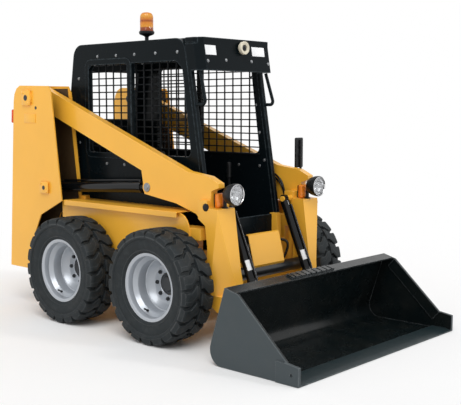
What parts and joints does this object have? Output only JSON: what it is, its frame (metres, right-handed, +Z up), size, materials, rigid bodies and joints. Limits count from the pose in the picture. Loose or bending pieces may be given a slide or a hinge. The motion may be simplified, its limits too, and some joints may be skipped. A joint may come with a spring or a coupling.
{
  "type": "skid-steer mini loader",
  "caption": "Compact skid-steer loader with mesh-sided open cab, lift boom on rear towers, wide bucket on a tilting coupler and lugged tyres.",
  "frame": {"origin": "on the ground, below the middle of the whole machine's box", "axes": "+X forward to the bucket, +Y to the driver's left, +Z up"},
  "size_m": [3.192, 1.77, 2.298],
  "materials": {
    "yellow_paint": "semi-gloss paint",
    "black_paint": "gloss black paint",
    "engine_iron": "cast iron with grime",
    "steel": "ground and chromed steel",
    "seat_vinyl": "grained black vinyl",
    "black_plastic": "moulded black plastic",
    "clear_lens": "clear lamp lens in a chrome ring",
    "amber_lens": "amber lens",
    "red_lens": "red lens",
    "bucket_paint": "charcoal paint with wear",
    "rubber": "moulded tyre rubber",
    "rim_silver": "silver wheel paint"
  },
  "bodies": {
    "chassis": {"main_frame": "yellow_paint", "cab_floor": "black_paint", "grab_handles": "black_paint", "tower_left": "yellow_paint", "tower_right": "yellow_paint", "chassis_pins": "steel", "fenders": "yellow_paint", "rear_bumper": "black_paint", "engine_block": "engine_iron", "engine_hood": "black_paint", "cab_side_left": "black_paint", "cab_side_right": "black_paint", "side_mesh_left": "black_paint", "side_mesh_right": "black_paint", "cab_roof": "black_paint", "cab_rear": "black_paint", "cab_front": "black_paint", "seat_base": "black_plastic", "seat_cushion": "seat_vinyl", "seat_back": "seat_vinyl", "control_levers": "black_plastic", "work_lamp": "clear_lens", "beacon_base": "black_plastic", "beacon_lens": "amber_lens", "tail_lamps": "red_lens"},
    "rear_door": {"rear_door": "yellow_paint"},
    "boom": {"boom_arm_left": "yellow_paint", "boom_arm_right": "yellow_paint", "boom_cross": "yellow_paint", "head_lamps": "black_plastic", "blinkers": "amber_lens", "mirror": "black_plastic"},
    "bucket": {"quick_coupler": "black_paint", "bucket": "bucket_paint", "cutting_edge": "bucket_paint"},
    "lift_barrel_left": {"lift_barrel_left": "black_paint"},
    "lift_rod_left": {"lift_rod_left": "steel"},
    "tilt_barrel_left": {"tilt_barrel_left": "black_paint"},
    "tilt_rod_left": {"tilt_rod_left": "steel"},
    "lift_barrel_right": {"lift_barrel_right": "black_paint"},
    "lift_rod_right": {"lift_rod_right": "steel"},
    "tilt_barrel_right": {"tilt_barrel_right": "black_paint"},
    "tilt_rod_right": {"tilt_rod_right": "steel"},
    "wheel_front_left": {"tyre_front_left": "rubber", "rim_front_left": "rim_silver"},
    "wheel_front_right": {"tyre_front_right": "rubber", "rim_front_right": "rim_silver"},
    "wheel_rear_left": {"tyre_rear_left": "rubber", "rim_rear_left": "rim_silver"},
    "wheel_rear_right": {"tyre_rear_right": "rubber", "rim_rear_right": "rim_silver"}
  },
  "joints": [
    {"name": "boom_lift", "type": "hinge", "parent": "chassis", "child": "boom", "pos_m": [-1.288, 0, 1.645], "axis": [0, -1, 0], "range_deg": [0, 63]},
    {"name": "bucket_tilt", "type": "hinge", "parent": "boom", "child": "bucket", "pos_m": [0.742, 0, 0.17], "axis": [0, 1, 0], "range_deg": [-28, 100]},
    {"name": "rear_door_swing", "type": "hinge", "parent": "chassis", "child": "rear_door", "pos_m": [-1.58295, 0.434, 0.30153], "axis": [-0.0666, 0, -0.9978], "range_deg": [0, 105]},
    {"name": "lift_swing_left", "type": "hinge", "parent": "chassis", "child": "lift_barrel_left", "pos_m": [-1.078, 0.48, 0.957], "axis": [0, -1, 0], "range_deg": [-1, 56.62]},
    {"name": "lift_stroke_left", "type": "slide", "parent": "lift_barrel_left", "child": "lift_rod_left", "axis": [0.9986, 0, 0.0532], "range_m": [-0.002, 0.73327]},
    {"name": "tilt_swing_left", "type": "hinge", "parent": "boom", "child": "tilt_barrel_left", "pos_m": [0.537, 0.3, 0.911], "axis": [0, 1, 0], "range_deg": [-2, 2]},
    {"name": "tilt_stroke_left", "type": "slide", "parent": "tilt_barrel_left", "child": "tilt_rod_left", "axis": [0.3979, 0, -0.9174], "range_m": [-0.06064, 0.21144]},
    {"name": "lift_swing_right", "type": "hinge", "parent": "chassis", "child": "lift_barrel_right", "pos_m": [-1.078, -0.48, 0.957], "axis": [0, -1, 0], "range_deg": [-1, 56.62]},
    {"name": "lift_stroke_right", "type": "slide", "parent": "lift_barrel_right", "child": "lift_rod_right", "axis": [0.9986, 0, 0.0532], "range_m": [-0.002, 0.73327]},
    {"name": "tilt_swing_right", "type": "hinge", "parent": "boom", "child": "tilt_barrel_right", "pos_m": [0.537, -0.3, 0.911], "axis": [0, 1, 0], "range_deg": [-2, 2]},
    {"name": "tilt_stroke_right", "type": "slide", "parent": "tilt_barrel_right", "child": "tilt_rod_right", "axis": [0.3979, 0, -0.9174], "range_m": [-0.06064, 0.21144]},
    {"name": "wheel_front_left_spin", "type": "hinge", "parent": "chassis", "child": "wheel_front_left", "pos_m": [0.29, 0.711, 0.3875], "axis": [0, 1, 0], "continuous": true},
    {"name": "wheel_front_right_spin", "type": "hinge", "parent": "chassis", "child": "wheel_front_right", "pos_m": [0.29, -0.711, 0.3875], "axis": [0, 1, 0], "continuous": true},
    {"name": "wheel_rear_left_spin", "type": "hinge", "parent": "chassis", "child": "wheel_rear_left", "pos_m": [-0.648, 0.711, 0.3875], "axis": [0, 1, 0], "continuous": true},
    {"name": "wheel_rear_right_spin", "type": "hinge", "parent": "chassis", "child": "wheel_rear_right", "pos_m": [-0.648, -0.711, 0.3875], "axis": [0, 1, 0], "continuous": true}
  ],
  "couplings": [
    {"joint": "lift_swing_left", "follows": "boom_lift", "ratio": 0.88277},
    {"joint": "lift_stroke_left", "follows": "boom_lift", "m_per_rad": 0.66506},
    {"joint": "tilt_swing_left", "follows": "bucket_tilt", "ratio": -0.012},
    {"joint": "tilt_stroke_left", "follows": "bucket_tilt", "m_per_rad": 0.12},
    {"joint": "lift_swing_right", "follows": "boom_lift", "ratio": 0.88277},
    {"joint": "lift_stroke_right", "follows": "boom_lift", "m_per_rad": 0.66506},
    {"joint": "tilt_swing_right", "follows": "bucket_tilt", "ratio": -0.012},
    {"joint": "tilt_stroke_right", "follows": "bucket_tilt", "m_per_rad": 0.12}
  ]
}
